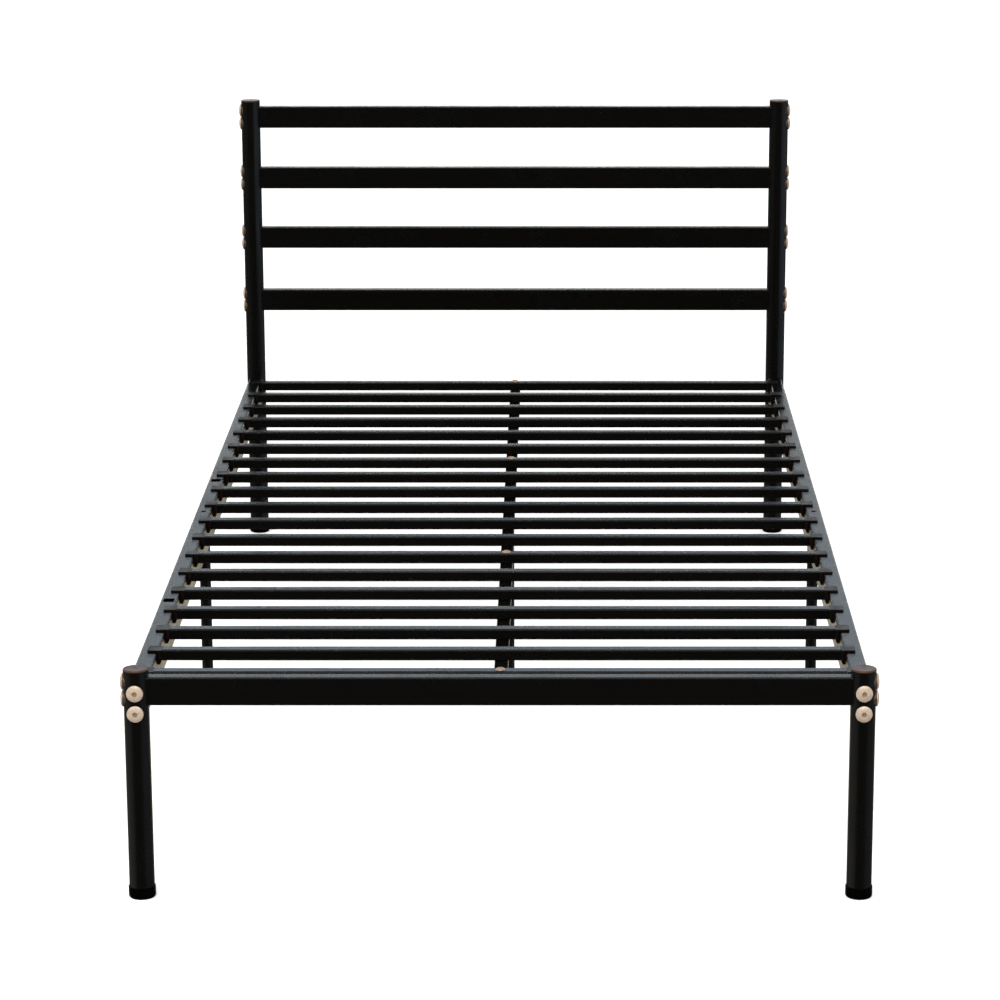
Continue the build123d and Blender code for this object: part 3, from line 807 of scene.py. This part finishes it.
def add_bolt(bm, bolt, point, direction, spin):
    """A domed bolt seated at a point, with its head towards direction, turned by spin degrees."""
    turn = Vector(direction).to_track_quat("Z", "Y").to_matrix().to_4x4()
    matrix = Matrix.Translation(point) @ turn @ Matrix.Rotation(math.radians(spin), 4, "Z")
    turns = [2 * math.pi * k / BOLT_STEPS for k in range(BOLT_STEPS)]
    across = bolt.socket / 2
    rings = []

    def dome_z(r):
        return bolt.dome - (bolt.dome - bolt.rim) * (r / bolt.head_r) ** 3

    def ring(radii, z):
        points = [Vector((r * math.cos(a), r * math.sin(a), z)) for r, a in zip(radii, turns)]
        rings.append([bm.verts.new(matrix @ p) for p in points])

    def circle(r, z):
        ring([r] * BOLT_STEPS, z)

    def hexagon(scale, z):
        sector = math.pi / 3
        ring([across * scale / math.cos(a % sector - sector / 2) for a in turns], z)

    circle(bolt.shank_r - SHANK_CHAMFER, -bolt.length)
    circle(bolt.shank_r, SHANK_CHAMFER - bolt.length)
    circle(bolt.shank_r, -bolt.length / 2)
    circle(bolt.shank_r, 0)
    circle(bolt.head_r - BOLT_EDGE, 0)
    circle(bolt.head_r, BOLT_EDGE)
    circle(bolt.head_r, bolt.rim * 0.75)
    lip = across * SOCKET_LIP
    for k in range(BOLT_DOME_RINGS + 1):
        r = lip + (bolt.head_r - 0.1 * MM - lip) * (1 - k / BOLT_DOME_RINGS)
        circle(r, dome_z(r))
    circle(across * 1.22, dome_z(across * 1.22))
    # The socket: two rings break its edge, and its floor is a shallow cone
    floor_z = bolt.dome * (1 - SOCKET_DEPTH)
    hexagon(1.06, dome_z(across) - 0.05 * MM)
    hexagon(1.0, dome_z(across) - 0.35 * MM)
    hexagon(1.0, floor_z)
    hexagon(0.55, floor_z)
    centre = bm.verts.new(matrix @ Vector((0, 0, floor_z - SOCKET_CONE)))
    # The socket's rings and floor are marked for the painted shade that darkens them
    socket_shade_layer = bm.verts.layers.float["socket_shade"]
    for one in rings[-4:] + [[centre]]:
        for vert in one:
            vert[socket_shade_layer] = 1.0
    for a, b in zip(rings, rings[1:]):
        bridge(bm, a, b)
    for k in range(BOLT_STEPS):
        n = (k + 1) % BOLT_STEPS
        bm.faces.new((rings[-1][k], rings[-1][n], centre))
    bm.faces.new(list(reversed(rings[0])))


def bolt_group(name, node, bolt, material, places):
    """A node of bolts; places are (seat, direction of the head, spin)."""
    bm = bmesh.new()
    # Vertex layer for the painted shade in the sockets
    bm.verts.layers.float.new("socket_shade")
    for place in places:
        add_bolt(bm, bolt, *place)
    finish_piece(name, bm, material, node)


def frame_bolts(name, node, seats):
    """A node of frame bolts, each turned further than the one before; seats are (point, direction)."""
    places = []
    for index, (point, direction) in enumerate(seats):
        places.append((point, direction, (index * FRAME_BOLT_SPIN) % HEXAGON_REPEAT))
    bolt_group(name, node, FRAME_BOLT, NICKEL, places)


def post_side_bolts(name, node, heights, pair_half):
    """Pairs of bolts through the outer sides of two posts, at the heights of the rails behind them."""
    low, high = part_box(node)
    y = (low.y + high.y) / 2
    seats = [
        (Vector((sign * (high.x - FRAME_BOLT.dome), y, z + up * pair_half)), (sign, 0, 0))
        for sign in SIDES.values()
        for z in heights
        for up in (1, -1)
    ]
    frame_bolts(name, node, seats)


foot_bolts_middle, foot_bolts_size = box_of("foot_rail_bolts")
pair_half = foot_bolts_size.z / 2 - FRAME_BOLT.head_r
post_side_bolts("foot_rail_bolt_heads", "foot_rail_bolts", [foot_bolts_middle.z], pair_half)
bar_heights = [box_of(f"headboard_bar_{level}")[0].z for level in BAR_LEVELS]
post_side_bolts("headboard_bolt_heads", "headboard_bolts", bar_heights, pair_half)

for end, out_y in ENDS.items():
    node = f"side_rail_{end}_bolts"
    low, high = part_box(node)
    seat_x = high.x - FRAME_BOLT.head_r
    seat_y = max(abs(low.y), abs(high.y)) - FRAME_BOLT.dome
    seats = [
        (Vector((sign * seat_x, out_y * seat_y, z)), (0, out_y, 0))
        for sign in SIDES.values()
        for z in (high.z - FRAME_BOLT.head_r, low.z + FRAME_BOLT.head_r)
    ]
    frame_bolts(f"side_rail_{end}_bolt_heads", node, seats)

slat_seat_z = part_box("slat_bolts")[1].z - SLAT_BOLT.dome
slat_places = [
    (Vector((0, box_of(f"slat_{number:02d}")[0].y, slat_seat_z)), (0, 0, 1), index * SLAT_BOLT_SPIN)
    for index, number in enumerate(BOLTED_SLATS)
]
bolt_group("slat_bolt_heads", "slat_bolts", SLAT_BOLT, AGED_NICKEL, slat_places)


# ---------------------------------------------------------------- CAD nodes kept as they are

KEPT_NODES = {
    "saddle_washers": WASHER_NICKEL,
    "centre_rail_end_caps": FOOT_PLASTIC,
    "foot_rail_nut_plates": ZINC,
    "headboard_nut_plates": ZINC,
    "side_rail_nut_plates": ZINC,
    "slat_bolt_nuts": ZINC,
    "mid_leg_inserts": ZINC,
    "mid_leg_screws": ZINC,
}
for node, material in KEPT_NODES.items():
    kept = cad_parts[node]
    kept.data.materials.clear()
    kept.data.materials.append(material)


# ---------------------------------------------------------------- studio


def floor():
    """A large plain floor, darker to the light that bounces off it than to the camera."""
    mesh = bpy.data.meshes.new("studio_floor")
    reach = FLOOR_REACH
    corners = [(-reach, -reach, 0), (reach, -reach, 0), (reach, reach, 0), (-reach, reach, 0)]
    mesh.from_pydata(corners, [], [(0, 1, 2, 3)])
    material, tree, shader, place = start_material("studio_floor")
    shader.inputs["Roughness"].default_value = 0.9
    shader.inputs["Specular IOR Level"].default_value = 0.0
    speck = tree.noise(place, scale=6.0, detail=3.0)
    tone = tree.mix(tree.ramp(speck, 0.3, 0.7), *FLOOR_TONES)
    seen = tree.nodes.new("ShaderNodeLightPath").outputs["Is Camera Ray"]
    tree.feed(shader.inputs["Base Color"], tree.mix(seen, FLOOR_BOUNCE, tone))
    mesh.materials.append(material)
    piece = bpy.data.objects.new("studio_floor", mesh)
    bpy.context.scene.collection.objects.link(piece)
    piece.visible_glossy = False


def studio_world():
    """White to the camera, one set of lights in reflections and another on matt faces."""
    world = bpy.data.worlds.new("studio")
    bpy.context.scene.world = world
    world.use_nodes = True
    world.cycles.sampling_method = "NONE"
    tree = Tree(world.node_tree)
    split = tree.nodes.new("ShaderNodeSeparateXYZ")
    tree.feed(split.inputs["Vector"], tree.nodes.new("ShaderNodeTexCoord").outputs["Generated"])
    parts = dict(zip("xyz", split.outputs))
    parts["aside"] = tree.maths("MULTIPLY", parts["x"], parts["x"])

    def lit(base, lights):
        """A base colour plus each light, at the product of its ramps."""
        total = base
        for colour, *ramps in lights.values():
            amount = 1.0
            for part, off, full in ramps:
                amount = tree.maths("MULTIPLY", amount, tree.ramp(parts[part], off, full))
            total = tree.mix(1.0, total, tree.mix(amount, (0, 0, 0), colour), blend="ADD")
        return total

    path = tree.nodes.new("ShaderNodeLightPath").outputs
    shown = tree.mix(path["Is Glossy Ray"], lit(MATT_BASE, MATT_LIGHTS), lit(GLOSS_BASE, GLOSS_LIGHTS))
    shown = tree.mix(path["Is Camera Ray"], shown, BACKDROP_SEEN)
    tree.feed(tree.nodes["Background"].inputs["Color"], shown)


def area_light(name, place, aim, size, power):
    """A soft square lamp that looks from place to aim."""
    data = bpy.data.lights.new(name, "AREA")
    data.shape = "SQUARE"
    data.size = size
    data.energy = power
    data.color = LAMP_COLOUR
    lamp = bpy.data.objects.new(name, data)
    lamp.location = place
    lamp.rotation_euler = (Vector(aim) - Vector(place)).to_track_quat("-Z", "Y").to_euler()
    lamp.visible_glossy = False
    bpy.context.scene.collection.objects.link(lamp)


def camera():
    """The photograph's view: from beyond the foot end, above the bed and nearly on its middle line."""
    data = bpy.data.cameras.new("camera")
    data.sensor_width = CAMERA_SENSOR
    data.lens = CAMERA_LENS
    data.shift_x, data.shift_y = CAMERA_SHIFT
    data.clip_end = CAMERA_REACH
    view = bpy.data.objects.new("camera", data)
    view.location = CAMERA_PLACE
    view.rotation_euler = (math.radians(90 - CAMERA_DOWN), 0, 0)
    bpy.context.scene.collection.objects.link(view)
    bpy.context.scene.camera = view


floor()
studio_world()
for name, lamp in LAMPS.items():
    area_light(name, *lamp)
camera()
bpy.context.scene.view_settings.view_transform = "Standard"
